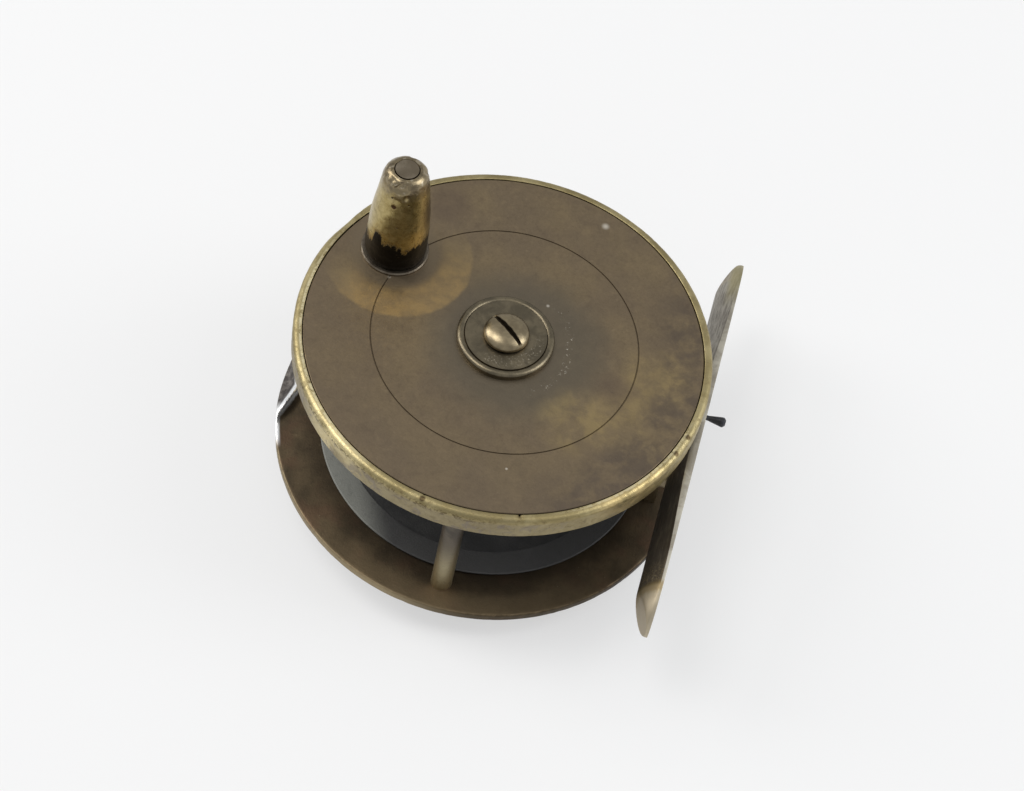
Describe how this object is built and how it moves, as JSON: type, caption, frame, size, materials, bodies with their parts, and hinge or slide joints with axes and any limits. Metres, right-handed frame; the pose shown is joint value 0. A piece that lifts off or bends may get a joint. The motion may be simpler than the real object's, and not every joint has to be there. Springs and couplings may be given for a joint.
{
  "type": "fly reel",
  "caption": "Small brass fly reel: open pillared cage with a rod foot, and a spool turned by a tapered handle on its winding plate.",
  "frame": {"origin": "centre of the flat end of the axle nut at the back, on the spool's axis", "axes": "+Z along the spool's axis from the back to the handle side; +X towards the foot; +Y along the foot"},
  "size_m": [0.0758, 0.0768, 0.0566],
  "materials": {
    "brown_bronze": "satin, brown patina",
    "gold_brass": "satin, rubbed",
    "olive_brass": "dull, stained",
    "worn_brass": "dull",
    "steel": "dark"
  },
  "bodies": {
    "cage": {"rear_plate": "olive_brass", "front_rim": "gold_brass", "pillars": "worn_brass", "rear_cage_screws": "steel", "front_cage_screws": "steel", "foot_block": "worn_brass", "foot": "gold_brass", "foot_screw_short": "steel", "foot_screw_long": "steel", "check_cover": "olive_brass", "cover_screws": "steel", "axle": "steel", "axle_nut": "worn_brass", "centre_screw": "brown_bronze", "pawl_pivot": "steel", "spring_post": "steel", "check_spring": "steel"},
    "spool": {"check_wheel": "steel", "spool_bush": "worn_brass", "rear_flange": "worn_brass", "front_flange": "worn_brass", "drum": "worn_brass", "winding_plate": "brown_bronze", "hub_disc": "brown_bronze", "handle_collar": "gold_brass", "handle_pin": "worn_brass", "handle_washer": "worn_brass"},
    "handle": {"handle_knob": "gold_brass"},
    "pawl": {"pawl": "steel"}
  },
  "joints": [
    {"name": "spool_spin", "type": "hinge", "parent": "cage", "child": "spool", "pos_m": [0, 0, 0], "axis": [0, 0, 1], "continuous": true},
    {"name": "handle_spin", "type": "hinge", "parent": "spool", "child": "handle", "pos_m": [-0.02233, 0.01157, 0], "axis": [0, 0, 1], "continuous": true},
    {"name": "pawl_swing", "type": "hinge", "parent": "cage", "child": "pawl", "pos_m": [0.0078, 0.0065, 0], "axis": [0, 0, 1], "range_deg": [0, 10], "stiffness_Nm_per_rad": 0.01, "springref_deg": -17.19, "deforming": ["check_spring"]}
  ]
}
